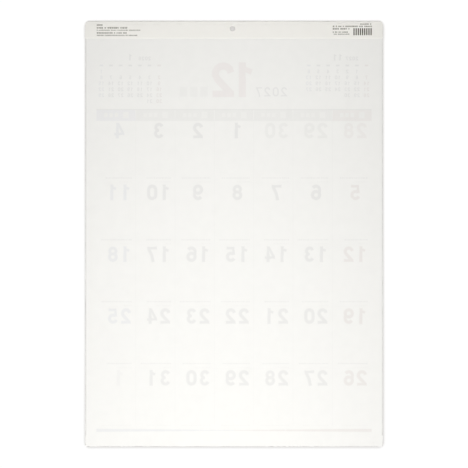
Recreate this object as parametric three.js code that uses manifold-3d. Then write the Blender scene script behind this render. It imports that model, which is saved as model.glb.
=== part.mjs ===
// A wall calendar: a pad of printed sheets, held along its top edge by a strip of card that is folded
// over it and glued on both faces. One hole is punched through card and sheets for a nail or hook, and
// the sheets have a line of tear slits just under the card.
//
// Millimetres, +Z up. The origin is the middle of the hanging hole, in the plane of the wall. The
// printed side faces -Y, and the back of the card lies against the wall at y = 0.

import * as THREE from "three";
import { mergeVertices } from "three/addons/utils/BufferGeometryUtils.js";
import Module from "manifold-3d";

// Driving dimensions

const CALENDAR_WIDTH = 425;
const CALENDAR_HEIGHT = 608; // from the fold of the card to the lower edge of the sheets

const SHEET_COUNT = 13; // a cover and twelve months
const SHEET_THICKNESS = 0.125;

const CARD_THICKNESS = 0.5;
const CARD_HEIGHT = 25; // how far each flap reaches down from the fold
const GLUE_FILM = 0.05; // between each flap and the pad

const TOP_CORNER_RADIUS = 5;
const BOTTOM_CORNER_RADIUS = 2;

const HOLE_DIAMETER = 8;
const HOLE_DROP = 11; // from the fold down to the middle of the hole
const HOLE_OFF_CENTRE = 2.1; // the punch stands this far to the +X side of the middle

const TEAR_LINE_DROP = 1.6; // from the card's lower edge down to the tear line
const SLIT_LENGTH = 3;
const SLIT_WIDTH = 0.35;
const SLIT_BRIDGE = 1.4; // uncut paper between two slits
const SLIT_EDGE_MARGIN = 3; // uncut paper at each end of the tear line

const HOLE_SEGMENTS = 48;
const CORNER_SEGMENTS = 8;
const FOLD_SEGMENTS = 12;
const OVERCUT = 5; // how far a cutting solid reaches past what it cuts

// Sizes worked out from them

const padThickness = SHEET_COUNT * SHEET_THICKNESS;
const foldInnerRadius = padThickness / 2 + GLUE_FILM;
const foldOuterRadius = foldInnerRadius + CARD_THICKNESS;

const topZ = HOLE_DROP;
const bottomZ = topZ - CALENDAR_HEIGHT;
const foldZ = topZ - foldOuterRadius; // where the flat flaps turn into the fold
const cardBottomZ = topZ - CARD_HEIGHT;
const tearLineZ = cardBottomZ - TEAR_LINE_DROP;
const middleX = -HOLE_OFF_CENTRE;
const middleY = -foldOuterRadius; // the pad's middle plane, behind the back flap

// Solids for joining and cutting

const wasm = await Module();
wasm.setup();

function solidFrom(geometry) {
  const bare = geometry.clone();
  bare.deleteAttribute("normal");
  bare.deleteAttribute("uv");
  const merged = mergeVertices(bare, 1e-5);
  return new wasm.Manifold(
    new wasm.Mesh({
      numProp: 3,
      vertProperties: new Float32Array(merged.attributes.position.array),
      triVerts: new Uint32Array(merged.index.array),
    }),
  );
}

function geometryFrom(solid) {
  const mesh = solid.getMesh();
  const geometry = new THREE.BufferGeometry();
  geometry.setAttribute("position", new THREE.BufferAttribute(mesh.vertProperties, 3));
  geometry.setIndex(new THREE.BufferAttribute(mesh.triVerts, 1));
  geometry.computeVertexNormals();
  return geometry;
}

// A face drawn in X and Z, given depth along Y from yBack towards the front, which is -Y.
function plateFrom(shape, yBack, depth) {
  const geometry = new THREE.ExtrudeGeometry(shape, {
    depth,
    bevelEnabled: false,
    curveSegments: CORNER_SEGMENTS,
  });
  geometry.rotateX(Math.PI / 2);
  geometry.translate(0, yBack, 0);
  return solidFrom(geometry);
}

// The calendar's outline, with the tighter corners at the foot, cut off at a given height.
function outline(highestZ) {
  const halfWidth = CALENDAR_WIDTH / 2;
  const foot = BOTTOM_CORNER_RADIUS;
  const head = TOP_CORNER_RADIUS;
  const shape = new THREE.Shape();
  shape.moveTo(middleX - halfWidth + foot, bottomZ);
  shape.lineTo(middleX + halfWidth - foot, bottomZ);
  shape.absarc(middleX + halfWidth - foot, bottomZ + foot, foot, -Math.PI / 2, 0);
  shape.lineTo(middleX + halfWidth, highestZ - head);
  shape.absarc(middleX + halfWidth - head, highestZ - head, head, 0, Math.PI / 2);
  shape.lineTo(middleX - halfWidth + head, highestZ);
  shape.absarc(middleX - halfWidth + head, highestZ - head, head, Math.PI / 2, Math.PI);
  shape.lineTo(middleX - halfWidth, bottomZ + foot);
  shape.absarc(middleX - halfWidth + foot, bottomZ + foot, foot, Math.PI, 1.5 * Math.PI);
  return shape;
}

// The punch passes through both flaps and every sheet.
function holePunch() {
  const radius = HOLE_DIAMETER / 2;
  const length = 2 * (foldOuterRadius + OVERCUT);
  const geometry = new THREE.CylinderGeometry(radius, radius, length, HOLE_SEGMENTS);
  geometry.translate(0, middleY, 0);
  return solidFrom(geometry);
}

// The knives of the tear line, evenly spaced between the two side margins.
function tearKnives() {
  const cutDepth = padThickness + 2 * OVERCUT;
  const pitch = SLIT_LENGTH + SLIT_BRIDGE;
  const run = CALENDAR_WIDTH - 2 * SLIT_EDGE_MARGIN + SLIT_BRIDGE;
  const count = Math.max(1, Math.floor(run / pitch));
  const firstX = middleX - ((count - 1) * pitch) / 2;
  const knives = [];
  for (let i = 0; i < count; i++) {
    const knife = new THREE.BoxGeometry(SLIT_LENGTH, cutDepth, SLIT_WIDTH);
    knife.translate(firstX + i * pitch, middleY, tearLineZ);
    knives.push(solidFrom(knife));
  }
  return wasm.Manifold.union(knives);
}

// The strip of card: two flat flaps and a round fold, cut to the calendar's rounded corners.
function headerCard() {
  const section = new THREE.Shape();
  section.moveTo(foldOuterRadius, cardBottomZ);
  section.lineTo(foldOuterRadius, foldZ);
  section.absarc(0, foldZ, foldOuterRadius, 0, Math.PI);
  section.lineTo(-foldOuterRadius, cardBottomZ);
  section.lineTo(-foldInnerRadius, cardBottomZ);
  section.lineTo(-foldInnerRadius, foldZ);
  section.absarc(0, foldZ, foldInnerRadius, Math.PI, 0, true);
  section.lineTo(foldInnerRadius, cardBottomZ);
  const strip = new THREE.ExtrudeGeometry(section, {
    depth: CALENDAR_WIDTH,
    bevelEnabled: false,
    curveSegments: FOLD_SEGMENTS,
  });
  strip.rotateX(Math.PI / 2);
  strip.rotateZ(Math.PI / 2);
  strip.translate(middleX - CALENDAR_WIDTH / 2, middleY, 0);
  const cornerShape = plateFrom(outline(topZ), OVERCUT, 2 * (foldOuterRadius + OVERCUT));
  return solidFrom(strip).intersect(cornerShape).subtract(holePunch());
}

// The sheets are one solid pad, which reaches up to where the card starts to fold.
function sheetPad() {
  const padBackY = middleY + padThickness / 2;
  const whole = plateFrom(outline(topZ), padBackY, padThickness);
  const aboveFoldZ = foldOuterRadius + OVERCUT;
  const trim = new THREE.BoxGeometry(CALENDAR_WIDTH + 2 * OVERCUT, padThickness + 2 * OVERCUT, aboveFoldZ);
  trim.translate(middleX, middleY, foldZ + aboveFoldZ / 2);
  return whole.subtract(solidFrom(trim)).subtract(holePunch()).subtract(tearKnives());
}

// Materials

const cardStock = new THREE.MeshStandardMaterial({ color: 0xeceae5, roughness: 0.75, metalness: 0 });
const calendarPaper = new THREE.MeshStandardMaterial({ color: 0xf2f1ec, roughness: 0.85, metalness: 0 });

// The calendar

function piece(name, solid, material) {
  const mesh = new THREE.Mesh(geometryFrom(solid), material);
  mesh.name = name;
  return mesh;
}

const calendar = new THREE.Group();
calendar.name = "wall_calendar";
calendar.add(piece("header_card", headerCard(), cardStock));
calendar.add(piece("sheet_pad", sheetPad(), calendarPaper));

export default calendar;
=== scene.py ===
"""A wall calendar, dressed around its solids: a folded header card and a pad of thirteen printed sheets.

Metres, +Z up. The printed side faces -Y. The camera stands on the +Y side and looks at the back of the
calendar, where the print of the last page shows faintly and in reverse through its paper.
Lengths in this script are millimetres until a mesh or a light is made.
"""

import calendar
import math
import random
from collections import namedtuple

import bpy
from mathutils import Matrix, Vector
from mathutils.geometry import delaunay_2d_cdt


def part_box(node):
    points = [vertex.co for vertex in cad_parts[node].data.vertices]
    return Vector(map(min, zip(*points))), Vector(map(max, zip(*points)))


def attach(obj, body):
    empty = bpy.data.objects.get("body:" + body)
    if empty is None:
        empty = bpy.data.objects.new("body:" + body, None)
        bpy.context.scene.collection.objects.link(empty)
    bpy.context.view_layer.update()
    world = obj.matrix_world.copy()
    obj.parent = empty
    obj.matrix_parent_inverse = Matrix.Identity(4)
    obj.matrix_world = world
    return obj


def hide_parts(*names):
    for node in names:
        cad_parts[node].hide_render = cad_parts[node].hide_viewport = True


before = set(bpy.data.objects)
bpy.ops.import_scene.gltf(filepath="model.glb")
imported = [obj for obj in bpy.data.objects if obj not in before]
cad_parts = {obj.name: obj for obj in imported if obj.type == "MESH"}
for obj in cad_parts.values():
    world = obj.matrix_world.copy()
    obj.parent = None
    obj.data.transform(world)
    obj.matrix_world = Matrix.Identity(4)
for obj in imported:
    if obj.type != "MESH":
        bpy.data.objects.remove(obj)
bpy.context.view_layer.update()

MM = 0.001

# Sizes read from the solids

card_low, card_high = ([value / MM for value in corner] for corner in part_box("header_card"))
pad_low, pad_high = ([value / MM for value in corner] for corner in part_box("sheet_pad"))
LEFT_X = card_low[0]
RIGHT_X = card_high[0]
MIDDLE_X = (LEFT_X + RIGHT_X) / 2
WIDTH = RIGHT_X - LEFT_X
TOP_Z = card_high[2]
CARD_FOOT_Z = card_low[2]
FOOT_Z = pad_low[2]
HEIGHT = TOP_Z - FOOT_Z
MIDDLE_Y = (card_low[1] + card_high[1]) / 2
PAD_THICKNESS = pad_high[1] - pad_low[1]
FOLD_OUTER_RADIUS = (card_high[1] - card_low[1]) / 2
FOLD_Z = TOP_Z - FOLD_OUTER_RADIUS

# Sizes repeated from the part

GLUE_FILM = 0.05
CARD_THICKNESS = FOLD_OUTER_RADIUS - PAD_THICKNESS / 2 - GLUE_FILM
TOP_CORNER_RADIUS = 5
BOTTOM_CORNER_RADIUS = 2
HOLE_RADIUS = 4
TEAR_LINE_DROP = 1.6
SLIT_LENGTH = 3
SLIT_WIDTH = 0.12  # finer than in the solids
SLIT_BRIDGE = 1.4
SLIT_EDGE_MARGIN = 3
SHEET_COUNT = 13

# How the sheets lie

SHEET_THICKNESS = 0.105
FAN_AT_FOOT = 0.055  # extra space between two sheets at the lower edge
FAN_GROWTH = 1.3  # the power by which that space opens on the way down
SHEET_SLIP = 0.16  # how far a sheet may stand out of line with the pad
SLIP_SEED = 11
WAVE_HEIGHT = 0.45
WAVES = ((1, 0.9, 0.45, 0.7), (0.6, 0.55, -1.15, 2.1))  # strength, turns across, turns down and start
CORNER_LIFT = 0.5
CORNER_GROWTH = 6  # the power by which the lower corners lift
GRID_STEP = 14
STEP_SLACK = 0.1  # a stretch may be longer than the step by this share of it

# The printed page, as read from the front. Drops are measured down from the fold of the card.

YEAR = 2027
FRONT_MONTH = 1
LAST_MONTH = 12
GRID_WIDTH = 393.3
COLUMN_WIDTH = GRID_WIDTH / 7
MONTH_NUMBER_DROP = 59.1
MONTH_NUMBER_HEIGHT = 49.7
MONTH_NUMBER_ADVANCE = 0.62
YEAR_DROP = 94.1
YEAR_HEIGHT = 14.2
YEAR_MIDDLE = -53.7
YEAR_WEIGHT = 0.62  # of a numeral's usual stroke weight
NAME_BLOCK_MIDDLE = 57.5
NAME_BLOCK_WIDTH = 10.55
NAME_BLOCK_PITCH = 14.57
WEEKDAY_DROP = 125.9
WEEKDAY_HEIGHT = 17
WEEKDAY_MARKS = ((-18, 8, 9), (-3, 5, 6), (4.5, 5, 6), (12, 5, 6))  # start, length and height
BAR_TOP_HEIGHT = 1.6
ROWS = 5
ROW_DROP = 145.4
ROW_PITCH = 88.36
DATE_HEIGHT = 22.4
DATE_OFFSET = -4.8  # the numerals stand a little left of the middle of their column
DATE_ADVANCE = 0.84
SHARED_DATE_SIZE = 0.6  # of a date's height, where two weeks share a row
SHARED_DATE_OFFSETS = (-8.5, 10)  # of the upper left and the lower right date in a shared cell
SLASH_REACH = 6
SLASH_WIDTH = 0.9
NOTE_START = 6  # from the left side of the cell
NOTE_HEIGHT = 1.9
RULE_WIDTH = 0.6
RULE_GAP = 1.5  # between the weekday bar and the upright lines
ROW_RULE_WIDTH = 0.7 * RULE_WIDTH
ROW_RULE_RISE = 2.2  # above the dates of its row
ROW_RULE_INSET = 1  # from each side of its column
FOOT_BAR_DROP = 585.0
FOOT_BAR_HEIGHT = 4.42
FOOT_BAR_STEPS = 8  # from each end to the middle
FOOT_BAR_TAPER = 0.85  # the share of its height that it loses on the way to the middle
GRID_FOOT_DROP = 579.0
SMALL_MONTH_MIDDLE = 148.2
SMALL_COLUMN = 13.75
SMALL_ROW = 8.5
SMALL_FIRST_DROP = 63.6
SMALL_HEIGHT = 5.42
SMALL_TITLE_DROP = 47.3
SMALL_TITLE_HEIGHT = 9.04
SMALL_YEAR_OFFSET = 20.5
SMALL_YEAR_HEIGHT = 5.6
SMALL_MARK_REACH = 0.45  # half the length of a day's mark, as a share of a small date's height
SMALL_MARK_HEIGHT = 0.4  # as the same share

# Inks, as the share of light that each leaves on the paper

DARK_GREY = (0.26, 0.26, 0.27)
PALE_GREY = (0.62, 0.62, 0.62)
NAME_GREY = (0.64, 0.64, 0.64)
RULE_GREY = (0.60, 0.60, 0.60)
FAINT_GREY = (0.80, 0.80, 0.80)
RED = (0.62, 0.06, 0.09)
PALE_RED = (0.82, 0.48, 0.50)
BLUE = (0.12, 0.20, 0.52)
PALE_BLUE = (0.50, 0.58, 0.78)
MONTH_RED = (0.64, 0.05, 0.08)
BAR_GREY = (0.30, 0.30, 0.31)
BAR_RED = (0.60, 0.07, 0.09)
BAR_BLUE = (0.13, 0.21, 0.50)
BAR_TOP = (0.20, 0.20, 0.21)
WHITE = (1.0, 1.0, 1.0)
# Painted shade along the upright edges of the last sheet and the card
PAINTED_RIM_SHADE = (0.94, 0.94, 0.94)
TEXT_INK = (0.36, 0.35, 0.33)
STRIPE_INK = (0.12, 0.11, 0.10)

# What the same inks leave when they are seen through the last sheet

SEEN_THROUGH = {
    DARK_GREY: (0.904, 0.904, 0.910),
    PALE_GREY: (0.950, 0.950, 0.950),
    NAME_GREY: (0.970, 0.970, 0.970),
    RULE_GREY: (0.966, 0.966, 0.966),
    FAINT_GREY: (0.985, 0.985, 0.985),
    RED: (0.925, 0.904, 0.901),
    PALE_RED: (0.962, 0.950, 0.950),
    BLUE: (0.922, 0.927, 0.946),
    PALE_BLUE: (0.972, 0.970, 0.974),
    MONTH_RED: (0.962, 0.936, 0.941),
    BAR_GREY: (0.950, 0.950, 0.950),
    BAR_RED: (0.954, 0.938, 0.938),
    BAR_BLUE: (0.946, 0.946, 0.966),
    BAR_TOP: (0.922, 0.922, 0.922),
    WHITE: (0.978, 0.978, 0.978),
    PAINTED_RIM_SHADE: (0.85, 0.85, 0.85),
}
BLEED = 0.7  # how far the print blurs inside the paper, to each side of its edge
BLEED_LIMIT = 0.3  # of a stroke's width, so that a thin stroke keeps a core
RIM_WIDTH = 1.2  # painted shade along the upright edges of the last sheet and the card, as if they bent away

# The two lines of small notes in a cell: drop from its date's top, least and greatest end, and ink

NOTES = ((79.0, 40, 50, DARK_GREY), (84.5, 14, 30, RULE_GREY))

# Plain dashes in place of small print, in shares of their line's height

DASH_LENGTHS = (0.55, 1.0)
DASH_HEIGHTS = (0.7, 1.0)
DASH_ROOM = 0.5  # a line ends where less room than this is left
DASH_GAP = 0.22
WORD_GAP = 0.9
WORD_CHANCE = 0.16  # that a word ends after a dash


# Strokes: all print is made of lines with a width

Stroke = namedtuple("Stroke", "points width closed ink")

STROKE_WEIGHT = 0.205  # of a numeral's height
DIGIT_WIDTH = 0.66
ARC_STEPS = 7  # per half turn


def arc(x, y, radius, start, end):
    """Points on a round arc between two angles in degrees."""
    steps = max(2, round(abs(end - start) / 180 * ARC_STEPS))
    turns = [math.radians(start + (end - start) * i / steps) for i in range(steps + 1)]
    return [(x + radius * math.cos(turn), y + radius * math.sin(turn)) for turn in turns]


def digit_paths():
    """The middle lines of each digit in a box one unit high: lists of (points, closed, weight factor)."""
    half = STROKE_WEIGHT / 2
    left = half
    right = DIGIT_WIDTH - half
    middle = DIGIT_WIDTH / 2
    bowl = right - middle
    low_bowl = half + bowl
    high_bowl = 1 - half - bowl
    top = 1 - half
    oval = arc(middle, high_bowl, bowl, 180, 0) + arc(middle, low_bowl, bowl, 0, -180)
    hook = [(left, low_bowl)] + arc(middle, high_bowl, bowl, 180, 32)
    ring = arc(middle, low_bowl, bowl, 0, 360)[:-1]

    def turned(points):
        return [(DIGIT_WIDTH - x, 1 - y) for x, y in points]

    return {
        "0": [(oval, True, 1)],
        "1": [([(0.4, 0), (0.4, 1)], False, 1), ([(0.42, 0.84), (0.13, 0.72)], False, 0.75)],
        "2": [
            (arc(middle, high_bowl, bowl, 172, -38) + [(0.13, 0.12)], False, 1),
            ([(0.02, half * 0.9), (DIGIT_WIDTH - 0.02, half * 0.9)], False, 0.9),
        ],
        "3": [
            (arc(middle - 0.02, high_bowl + 0.02, bowl - 0.02, 160, -90), False, 0.95),
            (arc(middle - 0.01, low_bowl - 0.01, bowl - 0.01, 90, -160), False, 0.95),
        ],
        "4": [
            ([(0.46, 0), (0.46, 1)], False, 0.95),
            ([(0.02, 0.28), (DIGIT_WIDTH, 0.28)], False, 0.8),
            ([(0.42, 0.94), (0.08, 0.3)], False, 0.75),
        ],
        "5": [
            ([(0.12, top), (0.6, top)], False, 0.9),
            ([(0.17, 0.96), (0.13, 0.46)], False, 0.85),
            (arc(middle - 0.01, low_bowl, bowl, 140, -158), False, 0.95),
        ],
        "6": [(ring, True, 1), (hook, False, 1)],
        "7": [
            ([(0.03, top), (DIGIT_WIDTH - 0.02, top)], False, 0.9),
            ([(0.57, 0.88), (0.36, 0.44), (0.27, 0)], False, 0.95),
        ],
        "8": [
            (arc(middle, high_bowl + 0.025, bowl - 0.03, 0, 360)[:-1], True, 0.92),
            (arc(middle, low_bowl - 0.01, bowl - 0.01, 0, 360)[:-1], True, 0.95),
        ],
        "9": [(turned(ring), True, 1), (turned(hook), False, 1)],
    }


DIGITS = digit_paths()


def number(text, middle, drop, height, ink, advance=DATE_ADVANCE, weight=1.0):
    """Strokes of a number whose middle is at a page position and whose top is at a drop."""
    width = height * (advance * (len(text) - 1) + DIGIT_WIDTH)
    strokes = []
    for place, digit in enumerate(text):
        start = middle - width / 2 + place * advance * height
        for points, closed, factor in DIGITS[digit]:
            placed = [(start + x * height, drop + (1 - y) * height) for x, y in points]
            strokes.append(Stroke(placed, STROKE_WEIGHT * factor * weight * height, closed, ink))
    return strokes


def bar(start, end, drop, height, ink):
    """A level bar between two page positions, with its middle line at a drop."""
    return Stroke([(start, drop), (end, drop)], height, False, ink)


def day_ink(column, in_month=True):
    """Sundays are red, Saturdays blue, and the days of the months beside this one are paler."""
    strong, pale = {0: (RED, PALE_RED), 6: (BLUE, PALE_BLUE)}.get(column, (DARK_GREY, PALE_GREY))
    return strong if in_month else pale


def column_middle(column):
    return (column - 3) * COLUMN_WIDTH


# The page of one month

def weeks_of(year, month):
    """The weeks of a month, from Sunday, as dates."""
    return calendar.Calendar(firstweekday=6).monthdatescalendar(year, month)


def month_beside(year, month, step):
    count = year * 12 + month - 1 + step
    return count // 12, count % 12 + 1


def small_month(year, month, middle):
    """A month beside the large numeral: its year and number, a row of day marks and its dates."""
    strokes = number(str(month), middle, SMALL_TITLE_DROP, SMALL_TITLE_HEIGHT, DARK_GREY)
    strokes += number(
        str(year), middle - SMALL_YEAR_OFFSET, SMALL_TITLE_DROP + SMALL_TITLE_HEIGHT - SMALL_YEAR_HEIGHT,
        SMALL_YEAR_HEIGHT, DARK_GREY
    )
    half = SMALL_HEIGHT * SMALL_MARK_REACH
    mark_height = SMALL_HEIGHT * SMALL_MARK_HEIGHT
    for column in range(7):
        x = middle + (column - 3) * SMALL_COLUMN
        strokes.append(bar(x - half, x + half, SMALL_FIRST_DROP, mark_height, day_ink(column)))
    for row, week in enumerate(weeks_of(year, month)):
        for column, day in enumerate(week):
            if day.month == month:
                x = middle + (column - 3) * SMALL_COLUMN
                drop = SMALL_FIRST_DROP + (row + 1) * SMALL_ROW - SMALL_HEIGHT / 2
                strokes += number(str(day.day), x, drop, SMALL_HEIGHT, day_ink(column))
    return strokes


def page_head(year, month):
    """The large month numeral between the year and three plain blocks, with a small month on each side."""
    strokes = number(
        str(month), 0, MONTH_NUMBER_DROP, MONTH_NUMBER_HEIGHT, MONTH_RED, advance=MONTH_NUMBER_ADVANCE
    )
    strokes += number(str(year), YEAR_MIDDLE, YEAR_DROP, YEAR_HEIGHT, DARK_GREY, weight=YEAR_WEIGHT)
    for place in (-1, 0, 1):
        x = NAME_BLOCK_MIDDLE + place * NAME_BLOCK_PITCH
        half = NAME_BLOCK_WIDTH / 2
        strokes.append(bar(x - half, x + half, YEAR_DROP + YEAR_HEIGHT / 2, YEAR_HEIGHT, NAME_GREY))
    for side in (-1, 1):
        beside_year, beside_month = month_beside(year, month, side)
        strokes += small_month(beside_year, beside_month, side * SMALL_MONTH_MIDDLE)
    return strokes


def weekday_bar():
    """Seven coloured fields under a darker line, each with four plain marks left white."""
    strokes = []
    middle_drop = WEEKDAY_DROP + WEEKDAY_HEIGHT / 2
    for column in range(7):
        x = column_middle(column)
        half = COLUMN_WIDTH / 2
        ink = {0: BAR_RED, 6: BAR_BLUE}.get(column, BAR_GREY)
        strokes.append(bar(x - half, x + half, middle_drop, WEEKDAY_HEIGHT, ink))
        strokes.append(bar(x - half, x + half, WEEKDAY_DROP + BAR_TOP_HEIGHT / 2, BAR_TOP_HEIGHT, BAR_TOP))
        for start, length, height in WEEKDAY_MARKS:
            strokes.append(bar(x + start, x + start + length, middle_drop, height, WHITE))
    return strokes


def date_grid(year, month, dice):
    """Five rows of dates. A sixth week shares the cells of the fifth."""
    strokes = []
    weeks = weeks_of(year, month)
    for row, week in enumerate(weeks[:ROWS]):
        drop = ROW_DROP + row * ROW_PITCH
        last_row = row == ROWS - 1
        for column, day in enumerate(week):
            x = column_middle(column) + DATE_OFFSET
            later = weeks[ROWS][column] if last_row and len(weeks) > ROWS else None
            if later and later.month == month:
                small = DATE_HEIGHT * SHARED_DATE_SIZE
                upper, lower = SHARED_DATE_OFFSETS
                ink = day_ink(column)
                strokes += number(str(day.day), x + upper, drop, small, ink)
                strokes += number(str(later.day), x + lower, drop + DATE_HEIGHT - small, small, ink)
                slash = [(x - SLASH_REACH, drop + DATE_HEIGHT), (x + SLASH_REACH, drop)]
                strokes.append(Stroke(slash, SLASH_WIDTH, False, ink))
            else:
                ink = day_ink(column, day.month == month)
                strokes += number(str(day.day), x, drop, DATE_HEIGHT, ink)
            cell_start = column_middle(column) - COLUMN_WIDTH / 2
            for note_drop, shortest, longest, note_ink in NOTES:
                strokes += small_print(
                    cell_start + NOTE_START, cell_start + dice.uniform(shortest, longest), drop + note_drop,
                    NOTE_HEIGHT, RULE_GREY if last_row else note_ink, dice
                )
    return strokes


def page_rules():
    """Thin upright lines between the columns and fainter level ones between the rows."""
    strokes = []
    top = WEEKDAY_DROP + WEEKDAY_HEIGHT + RULE_GAP
    for column in range(1, 7):
        x = column_middle(column) - COLUMN_WIDTH / 2
        strokes.append(Stroke([(x, top), (x, GRID_FOOT_DROP)], RULE_WIDTH, False, RULE_GREY))
    for row in range(1, ROWS):
        drop = ROW_DROP + row * ROW_PITCH - ROW_RULE_RISE
        for column in range(7):
            x = column_middle(column)
            half = COLUMN_WIDTH / 2 - ROW_RULE_INSET
            strokes.append(bar(x - half, x + half, drop, ROW_RULE_WIDTH, FAINT_GREY))
    return strokes


def foot_bar():
    """A thin bar along the foot, red at its Sunday end and blue at its Saturday end, thinnest midway."""
    strokes = []
    for side, ink in ((-1, RED), (1, BLUE)):
        for step in range(FOOT_BAR_STEPS):
            outer = GRID_WIDTH / 2 * (1 - step / FOOT_BAR_STEPS)
            inner = GRID_WIDTH / 2 * (1 - (step + 1) / FOOT_BAR_STEPS)
            height = FOOT_BAR_HEIGHT * (1 - FOOT_BAR_TAPER * step / FOOT_BAR_STEPS)
            start, end = sorted((side * inner, side * outer))
            strokes.append(bar(start, end, FOOT_BAR_DROP, height, ink))
    return strokes


def small_print(start, end, drop, height, ink, dice):
    """A line of plain dashes in place of small print."""
    strokes = []
    x = start
    while x < end - height * DASH_ROOM:
        length = height * dice.uniform(*DASH_LENGTHS)
        tall = height * dice.uniform(*DASH_HEIGHTS)
        strokes.append(bar(x, min(x + length, end), drop, tall, ink))
        x += length + height * (WORD_GAP if dice.random() < WORD_CHANCE else DASH_GAP)
    return strokes


def month_page(year, month):
    dice = random.Random(month)
    return (
        page_head(year, month) + weekday_bar() + page_rules() + date_grid(year, month, dice) + foot_bar()
    )


# The back of the header: plain lines of dashes in two blocks, and a field of even stripes

# Each line has a drop, a start, an end and a height. Starts and ends are measured from the edge that is on
# the left when seen from behind.

LEFT_LINES = (
    (5.9, 16.4, 27.0, 2.1), (9.9, 16.4, 62.6, 2.5), (13.3, 16.4, 78.6, 1.5), (17.2, 16.4, 60.0, 2.2),
    (20.6, 16.4, 76.3, 1.6),
)
RIGHT_LINES = (
    (4.5, 393.0, 409.5, 2.0), (7.8, 353.6, 409.5, 2.3), (11.3, 353.6, 379.0, 2.4),
    (16.0, 353.6, 377.0, 1.9), (18.9, 355.0, 379.0, 1.7),
)
LINE_SEED = 5
STRIPES = (384.0, 411.6, 10.4, 20.4)  # start, end, and the drops of the upper and lower ends
STRIPE_PITCH = 3.05
STRIPE_WIDTH = 1.75
EDGE_LIP = 1.2  # the pressed lower edge of the card, with a painted highlight where it would catch the light
LIP_DROP = TOP_Z - CARD_FOOT_Z - EDGE_LIP / 2
PAINTED_LIP_LIGHT = (1.05, 1.05, 1.05)


def header_print():
    """Strokes on the back flap and its lip, with positions measured from the edge at the viewer's left."""
    dice = random.Random(LINE_SEED)
    strokes = []
    for drop, start, end, height in LEFT_LINES + RIGHT_LINES:
        strokes += small_print(start, end, drop, height, TEXT_INK, dice)
    start, end, upper, lower = STRIPES
    for place in range(int((end - start) / STRIPE_PITCH)):
        x = start + place * STRIPE_PITCH
        strokes.append(Stroke([(x, upper), (x, lower)], STRIPE_WIDTH, False, STRIPE_INK))
    # Painted shade along the card's upright edges
    for x in (0, WIDTH):
        strokes.append(Stroke([(x, TOP_CORNER_RADIUS), (x, LIP_DROP)], 2 * RIM_WIDTH, False, PAINTED_RIM_SHADE))
    # A painted highlight along the card's lower edge
    strokes.append(Stroke([(0, LIP_DROP), (WIDTH, LIP_DROP)], EDGE_LIP, False, PAINTED_LIP_LIGHT))
    return strokes


# From strokes to faces

INSIDE_ONLY = 1  # asks for the triangles inside the given faces
MERGE_DISTANCE = 1e-4
KEY_DIGITS = 3
SMOOTH_ANGLE = 40


def offset_rails(points, half, closed):
    """The two rails of a ribbon, with mitred joins."""
    count = len(points)
    rails = ([], [])
    for i, (x, y) in enumerate(points):
        before = points[i - 1] if (i > 0 or closed) else None
        after = points[(i + 1) % count] if (i < count - 1 or closed) else None
        normals = []
        for a, b in ((before, (x, y)), ((x, y), after)):
            if a is None or b is None:
                continue
            length = math.hypot(b[0] - a[0], b[1] - a[1])
            normals.append((-(b[1] - a[1]) / length, (b[0] - a[0]) / length))
        nx = sum(n[0] for n in normals) / len(normals)
        ny = sum(n[1] for n in normals) / len(normals)
        square = nx * nx + ny * ny
        rails[0].append((x + nx / square * half, y + ny / square * half))
        rails[1].append((x - nx / square * half, y - ny / square * half))
    return rails


def with_reach(points, reach):
    """The same line with both of its ends moved outwards."""
    def moved(end, inner):
        length = math.hypot(end[0] - inner[0], end[1] - inner[1])
        return (
            end[0] + (end[0] - inner[0]) / length * reach,
            end[1] + (end[1] - inner[1]) / length * reach,
        )
    return [moved(points[0], points[1])] + list(points[1:-1]) + [moved(points[-1], points[-2])]


def ribbon(stroke, grow):
    """Four-cornered faces that cover a stroke, grown to each side."""
    points = stroke.points if stroke.closed else with_reach(stroke.points, grow)
    left, right = offset_rails(points, stroke.width / 2 + grow, stroke.closed)
    count = len(points)
    faces = []
    for i in range(count if stroke.closed else count - 1):
        j = (i + 1) % count
        faces.append([left[i], right[i], right[j], left[j]])
    return faces


def anticlockwise(face):
    area = sum(a[0] * b[1] - b[0] * a[1] for a, b in zip(face, face[1:] + face[:1]))
    return face if area > 0 else face[::-1]


def triangulate(outline, cutouts, loose, lines, strokes, blur, tint):
    """Splits a face into triangles along its print.

    Returns the corners, the triangles, and three colours for each triangle.
    """
    corners = []
    faces = []
    owners = []

    def add(face, owner):
        face = anticlockwise(face)
        faces.append(list(range(len(corners), len(corners) + len(face))))
        corners.extend(Vector(point) for point in face)
        owners.append(owner)

    add(outline, ("sheet", None))
    for cutout in cutouts:
        add(cutout, ("cutout", None))
    for index, stroke in enumerate(strokes):
        soft = min(blur, stroke.width * BLEED_LIMIT)
        for face in ribbon(stroke, -soft):
            add(face, ("core", index))
        if soft > 0:
            for face in ribbon(stroke, soft):
                add(face, ("halo", index))
    edges = []
    for line in lines:
        edges.extend((len(corners) + i, len(corners) + i + 1) for i in range(len(line) - 1))
        corners.extend(Vector(point) for point in line)
    corners.extend(Vector(point) for point in loose)
    places, _, triangles, _, _, sources = delaunay_2d_cdt(
        corners, edges, faces, INSIDE_ONLY, MERGE_DISTANCE, True
    )

    kept = []
    core_corners = {}
    for triangle, source in zip(triangles, sources):
        found = {owners[i] for i in source}
        if ("sheet", None) not in found or ("cutout", None) in found:
            continue
        kept.append((triangle, found))
        for kind, index in found:
            if kind == "core":
                core_corners.setdefault(index, set()).update(triangle)
    colours = []
    for triangle, found in kept:
        shades = [WHITE] * 3
        for index in sorted({index for kind, index in found if index is not None}):
            ink = tint(strokes[index].ink)
            whole = ("core", index) in found
            inked = core_corners.get(index, ())
            shades = [ink if whole or corner in inked else shade for corner, shade in zip(triangle, shades)]
        colours.append(shades)
    return places, [triangle for triangle, _ in kept], colours


def rim_of(triangles):
    """The directed edges that only one triangle uses."""
    used = {(a, b) for t in triangles for a, b in zip(t, t[1:] + t[:1])}
    return [(a, b) for a, b in used if (b, a) not in used]


def place_key(point):
    """A flat point in rounded form, by which the corners of a leaf's two sides find each other."""
    return round(point[0], KEY_DIGITS), round(point[1], KEY_DIGITS)


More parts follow.
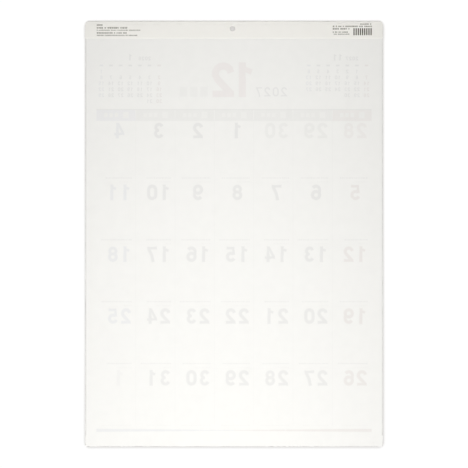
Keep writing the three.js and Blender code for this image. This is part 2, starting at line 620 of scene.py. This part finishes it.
def leaf(name, shapes, place, material):
    """A thin closed solid from its two faces.

    shapes holds what triangulate returns for the side towards -Y (0) and the side towards +Y (1), and
    place gives the point in space of a flat point on one of the sides.
    """
    points = []
    faces = []
    colours = []
    rims = []
    for side, (places, triangles, shades) in enumerate(shapes):
        base = len(points)
        points.extend(place(x, y, side) for x, y in places)
        for triangle, three in zip(triangles, shades):
            order = (0, 1, 2) if side == 0 else (2, 1, 0)
            faces.append([base + triangle[i] for i in order])
            colours.extend(three[i] for i in order)
        at = {place_key(point): base + i for i, point in enumerate(places)}
        rims.append((at, places, rim_of([tuple(t) for t in triangles])))
    near, near_places, near_rim = rims[0]
    far = rims[1][0]
    for a, b in near_rim:
        key_a = place_key(near_places[a])
        key_b = place_key(near_places[b])
        faces.append([near[key_b], near[key_a], far[key_a], far[key_b]])
        colours.extend([WHITE] * 4)
    # Corners of print that lie beyond the outline belong to no face, and are left out
    used = sorted({corner for face in faces for corner in face})
    rank = {corner: i for i, corner in enumerate(used)}
    mesh = bpy.data.meshes.new(name)
    mesh.from_pydata(
        [[value * MM for value in points[corner]] for corner in used],
        [],
        [[rank[corner] for corner in face] for face in faces],
    )
    layer = mesh.color_attributes.new("print", "FLOAT_COLOR", "CORNER")
    layer.data.foreach_set("color", [value for colour in colours for value in (*colour, 1.0)])
    mesh.materials.append(material)
    mesh.shade_smooth()
    mesh.set_sharp_from_angle(angle=math.radians(SMOOTH_ANGLE))
    piece = bpy.data.objects.new(name, mesh)
    bpy.context.scene.collection.objects.link(piece)
    return piece


# Outlines

def circle(x, y, radius, count=40):
    turns = [2 * math.pi * i / count for i in range(count)]
    return [(x + radius * math.cos(turn), y + radius * math.sin(turn)) for turn in turns]


def stepped(points, closed):
    """The same line with more points on its long stretches, so that it can bend with its sheet."""
    finer = []
    ends = points[1:] + points[:1] if closed else points[1:]
    for start, end in zip(points, ends):
        length = math.hypot(end[0] - start[0], end[1] - start[1])
        steps = max(1, math.ceil(length / GRID_STEP - STEP_SLACK))
        for i in range(steps):
            share = i / steps
            finer.append((start[0] + (end[0] - start[0]) * share, start[1] + (end[1] - start[1]) * share))
    return finer if closed else finer + [points[-1]]


def sheet_outline(slip_x, slip_z):
    """A sheet's outline in X and Z. Its head is cut at the card's fold and its corners are rounded."""
    foot = BOTTOM_CORNER_RADIUS
    head = TOP_CORNER_RADIUS
    left = LEFT_X + SHEET_SLIP + slip_x
    right = RIGHT_X - SHEET_SLIP + slip_x
    low = FOOT_Z + SHEET_SLIP + slip_z
    cut = math.degrees(math.asin((head - FOLD_OUTER_RADIUS) / head))
    points = arc(left + foot, low + foot, foot, 180, 270) + arc(right - foot, low + foot, foot, 270, 360)
    points += arc(right - head, TOP_Z - head, head, 0, cut)
    points += arc(left + head, TOP_Z - head, head, 180 - cut, 180)
    return stepped(points, True)


def tear_slits():
    """The slits of the tear line, as four-cornered cutouts."""
    z = CARD_FOOT_Z - TEAR_LINE_DROP
    pitch = SLIT_LENGTH + SLIT_BRIDGE
    count = int((WIDTH - 2 * SLIT_EDGE_MARGIN + SLIT_BRIDGE) / pitch)
    first = MIDDLE_X - (count - 1) * pitch / 2
    slits = []
    for i in range(count):
        x = first + i * pitch
        slits.append([
            (x - SLIT_LENGTH / 2, z - SLIT_WIDTH / 2), (x + SLIT_LENGTH / 2, z - SLIT_WIDTH / 2),
            (x + SLIT_LENGTH / 2, z + SLIT_WIDTH / 2), (x - SLIT_LENGTH / 2, z + SLIT_WIDTH / 2),
        ])
    return slits


def grid_points():
    """Loose points inside a sheet, so that it can bend."""
    across = int(WIDTH / GRID_STEP)
    down = int(HEIGHT / GRID_STEP)
    points = []
    for i in range(1, across):
        for j in range(1, down):
            x = LEFT_X + WIDTH * i / across
            z = FOOT_Z + HEIGHT * j / down
            if z < CARD_FOOT_Z - 2 * TEAR_LINE_DROP:
                points.append((x, z))
    return points


# Sheets

def sheet_depth(x, z, number_from_front):
    """The middle of a sheet in Y: flat inside the card, and a little wavy and fanned below it."""
    pitch = PAD_THICKNESS / SHEET_COUNT
    place = number_from_front - (SHEET_COUNT - 1) / 2
    down = min(1.0, max(0.0, (CARD_FOOT_Z - z) / (CARD_FOOT_Z - FOOT_Z)))
    across = (x - MIDDLE_X) / WIDTH
    wave = 0.0
    for strength, turns_across, turns_down, start in WAVES:
        wave += strength * math.sin(2 * math.pi * (turns_across * across + turns_down * down) + start)
    share = down * (2 - down)
    corner = (2 * abs(across)) ** CORNER_GROWTH * down ** CORNER_GROWTH
    fan = FAN_AT_FOOT * down ** FAN_GROWTH
    return MIDDLE_Y + place * (pitch + fan) + WAVE_HEIGHT * share * wave + CORNER_LIFT * corner


def page_strokes(year, month):
    """The strokes of a month's page, in X and Z."""
    strokes = []
    for stroke in month_page(year, month):
        points = stepped([(MIDDLE_X + x, TOP_Z - drop) for x, drop in stroke.points], stroke.closed)
        strokes.append(stroke._replace(points=points))
    return strokes


def make_sheets(material):
    """Thirteen sheets. The first shows its printed face, and the last its print through the back."""
    dice = random.Random(SLIP_SEED)
    slits = tear_slits()
    hole = circle(0, 0, HOLE_RADIUS)
    loose = grid_points()
    pieces = []
    for i in range(SHEET_COUNT):
        slip_x, slip_z = (dice.uniform(-SHEET_SLIP, SHEET_SLIP) for _ in range(2))
        outline = sheet_outline(slip_x, slip_z)
        plain = triangulate(outline, [hole] + slits, loose, [], [], 0, None)
        sides = [plain, plain]
        if i == 0:
            strokes = page_strokes(YEAR, FRONT_MONTH)
            sides[0] = triangulate(outline, [hole] + slits, loose, [], strokes, 0, tuple)
        if i == SHEET_COUNT - 1:
            # A painted shade along the last sheet's upright edges
            upright = [point for point in outline if point[1] > FOOT_Z + 2 * BOTTOM_CORNER_RADIUS]
            painted_rim = Stroke(upright, 2 * RIM_WIDTH, False, PAINTED_RIM_SHADE)
            strokes = page_strokes(YEAR, LAST_MONTH) + [painted_rim]
            sides[1] = triangulate(outline, [hole] + slits, loose, [], strokes, BLEED, SEEN_THROUGH.get)

        def place(x, z, side, order=i):
            return x, sheet_depth(x, z, order) + (side - 0.5) * SHEET_THICKNESS, z

        pieces.append(leaf(f"sheet_{i + 1:02d}", sides, place, material))
    return pieces


# Header card: laid out flat, with the fold across it, and bent to shape

FOLD_STEPS = 10
CORNER_STEPS = 6
ROUNDING = 1e-6
FOLD_MIDDLE_RADIUS = FOLD_OUTER_RADIUS - CARD_THICKNESS / 2
FOLD_LENGTH = math.pi * FOLD_MIDDLE_RADIUS
FLAP_HEIGHT = FOLD_Z - CARD_FOOT_Z


def flat_from_z(z):
    """Distance from the fold's crown along the flat card, for a height on the flap at the back."""
    return FOLD_LENGTH / 2 + FOLD_Z - z


def card_point(x, along, side):
    """Bends the flat card: side 1 is its outside, and along is negative on the front flap."""
    radius = FOLD_MIDDLE_RADIUS + (side - 0.5) * CARD_THICKNESS
    beyond = abs(along) - FOLD_LENGTH / 2
    if beyond > 0:
        return x, MIDDLE_Y + math.copysign(radius, along), FOLD_Z - beyond
    turn = along / FOLD_MIDDLE_RADIUS
    return x, MIDDLE_Y + radius * math.sin(turn), FOLD_Z + radius * math.cos(turn)


def card_half_width(along):
    """Half the card's width, less what its rounded upper corners take away."""
    depth = TOP_Z - card_point(0, along, 1)[2]
    short = max(0.0, TOP_CORNER_RADIUS - depth)
    return WIDTH / 2 - TOP_CORNER_RADIUS + math.sqrt(TOP_CORNER_RADIUS ** 2 - short ** 2)


def card_levels():
    """Where the card's ends have points, from the front flap's foot over the fold to the back one's."""
    fold = [FOLD_LENGTH * (i / FOLD_STEPS - 0.5) for i in range(FOLD_STEPS + 1)]
    rounded = TOP_CORNER_RADIUS - FOLD_OUTER_RADIUS
    flap = [FOLD_LENGTH / 2 + rounded * i / CORNER_STEPS for i in range(1, CORNER_STEPS + 1)]
    foot = FOLD_LENGTH / 2 + FLAP_HEIGHT
    return [-foot] + [-level for level in reversed(flap)] + fold + flap + [foot]


def make_header(material):
    levels = card_levels()
    right = [(MIDDLE_X + card_half_width(level), level) for level in levels]
    left = [(MIDDLE_X - card_half_width(level), level) for level in reversed(levels)]
    outline = right + left
    holes = [circle(0, flat_from_z(0), HOLE_RADIUS), circle(0, -flat_from_z(0), HOLE_RADIUS)]
    creases = []
    for level in levels:
        if abs(level) <= FOLD_LENGTH / 2 + ROUNDING:
            half = card_half_width(level)
            creases.append([(MIDDLE_X - half, level), (MIDDLE_X + half, level)])
    strokes = [
        stroke._replace(points=[(RIGHT_X - x, flat_from_z(TOP_Z - drop)) for x, drop in stroke.points])
        for stroke in header_print()
    ]
    plain = triangulate(outline, holes, [], creases, [], 0, None)
    printed = triangulate(outline, holes, [], creases, strokes, 0, tuple)
    return leaf("header", [plain, printed], card_point, material)


# Materials

PAPER_TONE = (0.868, 0.861, 0.833)
CARD_TONE = (0.887, 0.872, 0.825)
STOCK_ROUGHNESS = 0.86
STOCK_SPECULAR = 0.22
NOISE_LOW = 0.3  # the part of a noise texture's range that is spread out
NOISE_HIGH = 0.7
CLOUD_DETAIL = 2.0
FIBRE_DETAIL = 4.0
FIBRE_SHARE = 0.6  # how far the fibres lighten and darken the stock, as a share of what the clouding does


def stock_material(name, tone, mottle, fibre_size, cloud_size, bump):
    """Paper or card: print, a faint clouding, fine fibres and a slightly rough face."""
    material = bpy.data.materials.new(name)
    material.use_nodes = True
    nodes = material.node_tree.nodes
    links = material.node_tree.links
    shader = nodes["Principled BSDF"]
    shader.inputs["Roughness"].default_value = STOCK_ROUGHNESS
    shader.inputs["Specular IOR Level"].default_value = STOCK_SPECULAR
    place = nodes.new("ShaderNodeTexCoord")

    def noise(size, detail):
        node = nodes.new("ShaderNodeTexNoise")
        node.inputs["Scale"].default_value = 1 / (size * MM)
        node.inputs["Detail"].default_value = detail
        links.new(place.outputs["Object"], node.inputs["Vector"])
        return node.outputs["Fac"]

    def spread(value, low, high):
        node = nodes.new("ShaderNodeMapRange")
        node.inputs["From Min"].default_value = NOISE_LOW
        node.inputs["From Max"].default_value = NOISE_HIGH
        node.inputs["To Min"].default_value = low
        node.inputs["To Max"].default_value = high
        links.new(value, node.inputs["Value"])
        return node.outputs["Result"]

    def multiply(a, b):
        node = nodes.new("ShaderNodeMix")
        node.data_type = "RGBA"
        node.blend_type = "MULTIPLY"
        node.inputs["Factor"].default_value = 1.0
        for socket, value in (("A", a), ("B", b)):
            target = next(s for s in node.inputs if s.name == socket and s.type == "RGBA")
            if isinstance(value, tuple):
                target.default_value = (*value, 1.0)
            else:
                links.new(value, target)
        return next(s for s in node.outputs if s.type == "RGBA")

    printed = nodes.new("ShaderNodeVertexColor")
    printed.layer_name = "print"
    cloud = spread(noise(cloud_size, CLOUD_DETAIL), 1 - mottle, 1 + mottle)
    fine = mottle * FIBRE_SHARE
    fibre = spread(noise(fibre_size, FIBRE_DETAIL), 1 - fine, 1 + fine)
    colour = multiply(multiply(multiply(printed.outputs["Color"], tone), cloud), fibre)
    links.new(colour, shader.inputs["Base Color"])
    relief = nodes.new("ShaderNodeBump")
    relief.inputs["Strength"].default_value = 1.0
    relief.inputs["Distance"].default_value = bump * MM
    links.new(noise(fibre_size, FIBRE_DETAIL), relief.inputs["Height"])
    links.new(relief.outputs["Normal"], shader.inputs["Normal"])
    return material


paper = stock_material(
    "calendar_paper", PAPER_TONE, mottle=0.008, fibre_size=0.5, cloud_size=14, bump=0.012
)
card = stock_material("header_card", CARD_TONE, mottle=0.008, fibre_size=0.7, cloud_size=20, bump=0.02)

header = make_header(card)
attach(header, "root")
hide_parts("header_card")

for sheet in make_sheets(paper):
    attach(sheet, "root")
    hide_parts("sheet_pad")


# Stage: a floor, and a white board behind the calendar that only shows its face

FLOOR_DROP = 1300  # below the calendar's lower edge
FLOOR_SIZE = 30000
FLOOR_COLOUR = (0.9, 0.9, 0.9, 1)
FLOOR_ROUGHNESS = 0.9
FLOOR_GLOW = 0.15
FLOOR_SEEN_GLOW = 0.62  # more, towards the camera only
BOARD_GAP = 1.0  # from the printed side to the board
BOARD_WIDTH = 840
BOARD_MARGIN = 180  # above and below the calendar
BOARD_WHITE = (1.04, 1.04, 1.04)
BOARD_SHADE = (0.64, 0.625, 0.605)  # painted shadow, where the calendar would shade it most
SHADOW_REACH = 8  # how far from the calendar the painted shadow on the board reaches
SHADOW_FROM = 0.45  # openness at which the painted shadow is darkest
SHADOW_LEAN = (0.08, 1, 0.15)  # openness is felt round this way, so the painted shadow is deepest below


def stage_plane(name, corners, material):
    mesh = bpy.data.meshes.new(name)
    mesh.from_pydata([[value * MM for value in corner] for corner in corners], [], [(0, 1, 2, 3)])
    mesh.materials.append(material)
    plane = bpy.data.objects.new(name, mesh)
    bpy.context.scene.collection.objects.link(plane)
    return plane


def floor_material():
    material = bpy.data.materials.new("pale_floor")
    material.use_nodes = True
    nodes = material.node_tree.nodes
    links = material.node_tree.links
    shader = nodes["Principled BSDF"]
    shader.inputs["Base Color"].default_value = FLOOR_COLOUR
    shader.inputs["Roughness"].default_value = FLOOR_ROUGHNESS
    shader.inputs["Emission Color"].default_value = (1, 1, 1, 1)
    path = nodes.new("ShaderNodeLightPath")
    glow = nodes.new("ShaderNodeMapRange")
    glow.inputs["To Min"].default_value = FLOOR_GLOW
    glow.inputs["To Max"].default_value = FLOOR_GLOW + FLOOR_SEEN_GLOW
    links.new(path.outputs["Is Camera Ray"], glow.inputs["Value"])
    links.new(glow.outputs["Result"], shader.inputs["Emission Strength"])
    return material


def board_material():
    """White on its face, with a painted shadow close to the calendar. Its back lets everything through."""
    material = bpy.data.materials.new("white_board")
    material.use_nodes = True
    nodes = material.node_tree.nodes
    links = material.node_tree.links
    nodes.remove(nodes["Principled BSDF"])
    white = nodes.new("ShaderNodeEmission")
    contact = nodes.new("ShaderNodeAmbientOcclusion")
    contact.inputs["Distance"].default_value = SHADOW_REACH * MM
    lean = nodes.new("ShaderNodeCombineXYZ")
    for socket, value in zip(lean.inputs, Vector(SHADOW_LEAN).normalized()):
        socket.default_value = value
    links.new(lean.outputs["Vector"], contact.inputs["Normal"])
    shade = nodes.new("ShaderNodeMapRange")
    shade.data_type = "FLOAT_VECTOR"
    shade.interpolation_type = "SMOOTHSTEP"
    ends = {"From Min": (SHADOW_FROM,) * 3, "From Max": WHITE, "To Min": BOARD_SHADE, "To Max": BOARD_WHITE}
    for socket in shade.inputs:
        if socket.type == "VECTOR" and socket.name in ends:
            socket.default_value = ends[socket.name]
    place = next(socket for socket in shade.inputs if socket.type == "VECTOR" and socket.name == "Vector")
    links.new(contact.outputs["AO"], place)
    links.new(shade.outputs["Vector"], white.inputs["Color"])
    clear = nodes.new("ShaderNodeBsdfTransparent")
    side = nodes.new("ShaderNodeNewGeometry")
    blend = nodes.new("ShaderNodeMixShader")
    links.new(side.outputs["Backfacing"], blend.inputs["Fac"])
    links.new(white.outputs["Emission"], blend.inputs[1])
    links.new(clear.outputs["BSDF"], blend.inputs[2])
    links.new(blend.outputs["Shader"], nodes["Material Output"].inputs["Surface"])
    return material


floor_z = FOOT_Z - FLOOR_DROP
reach = FLOOR_SIZE / 2
stage_plane(
    "floor",
    [(-reach, -reach, floor_z), (reach, -reach, floor_z), (reach, reach, floor_z), (-reach, reach, floor_z)],
    floor_material(),
)
board_y = card_low[1] - BOARD_GAP
board_half = BOARD_WIDTH / 2
board_top = TOP_Z + BOARD_MARGIN
board_foot = FOOT_Z - BOARD_MARGIN
board = stage_plane(
    "board",
    [
        (MIDDLE_X + board_half, board_y, board_foot), (MIDDLE_X - board_half, board_y, board_foot),
        (MIDDLE_X - board_half, board_y, board_top), (MIDDLE_X + board_half, board_y, board_top),
    ],
    board_material(),
)
board.visible_shadow = False
board.visible_diffuse = False
board.visible_glossy = False
board.visible_transmission = False


# Light: a soft even room, a white surround, and a strong and a weak light on each side of the calendar

AMBIENT = 0.281
SURROUND = 1.02  # what the camera sees past the stage
KEY_POWER = 10.3
KEY_SIZE = (60, 2000)  # a tall strip
KEY_DISTANCE = 860
KEY_PLACE = (28, -885)  # sideways from the calendar's middle, and up from its top
FILL_POWER = 0.125
FILL_SIZE = (300, 200)
FILL_DISTANCE = 400
FILL_PLACE = (-60, 150)  # just above the calendar's head


def make_world():
    world = bpy.data.worlds.new("room")
    bpy.context.scene.world = world
    world.use_nodes = True
    nodes = world.node_tree.nodes
    links = world.node_tree.links
    room = nodes["Background"]
    room.inputs["Color"].default_value = (1, 1, 1, 1)
    room.inputs["Strength"].default_value = AMBIENT
    surround = nodes.new("ShaderNodeBackground")
    surround.inputs["Color"].default_value = (1, 1, 1, 1)
    surround.inputs["Strength"].default_value = SURROUND
    path = nodes.new("ShaderNodeLightPath")
    blend = nodes.new("ShaderNodeMixShader")
    links.new(path.outputs["Is Camera Ray"], blend.inputs["Fac"])
    links.new(room.outputs["Background"], blend.inputs[1])
    links.new(surround.outputs["Background"], blend.inputs[2])
    links.new(blend.outputs["Shader"], nodes["World Output"].inputs["Surface"])


def facing_light(name, power, size, distance, place):
    """A light that faces the calendar squarely, from behind it where its distance is positive."""
    data = bpy.data.lights.new(name, "AREA")
    data.shape = "RECTANGLE"
    data.size, data.size_y = (value * MM for value in size)
    data.energy = power
    light = bpy.data.objects.new(name, data)
    light.location = [value * MM for value in (MIDDLE_X + place[0], distance, TOP_Z + place[1])]
    light.rotation_euler = Vector((0, -distance, 0)).to_track_quat("-Z", "Y").to_euler()
    bpy.context.scene.collection.objects.link(light)


make_world()
middle_z = (TOP_Z + FOOT_Z) / 2
for side, word in ((1, "back"), (-1, "front")):
    facing_light(f"key_{word}", KEY_POWER, KEY_SIZE, side * KEY_DISTANCE, KEY_PLACE)
    facing_light(f"fill_{word}", FILL_POWER, FILL_SIZE, side * FILL_DISTANCE, FILL_PLACE)


# Camera: square on to the back, far enough away that nothing looks foreshortened

CAMERA_DISTANCE = 2600
FRAME_WIDTH = 668.7  # what the square picture shows at the calendar
CAMERA_DROP = 0.45  # below the calendar's middle
SENSOR = 36

camera_data = bpy.data.cameras.new("camera")
camera_data.sensor_width = SENSOR
camera_data.lens = SENSOR * CAMERA_DISTANCE / FRAME_WIDTH
camera = bpy.data.objects.new("camera", camera_data)
camera.location = (MIDDLE_X * MM, CAMERA_DISTANCE * MM, (middle_z - CAMERA_DROP) * MM)
camera.rotation_euler = (math.radians(90), 0, math.radians(180))
bpy.context.scene.collection.objects.link(camera)
bpy.context.scene.camera = camera
bpy.context.scene.view_settings.view_transform = "Standard"
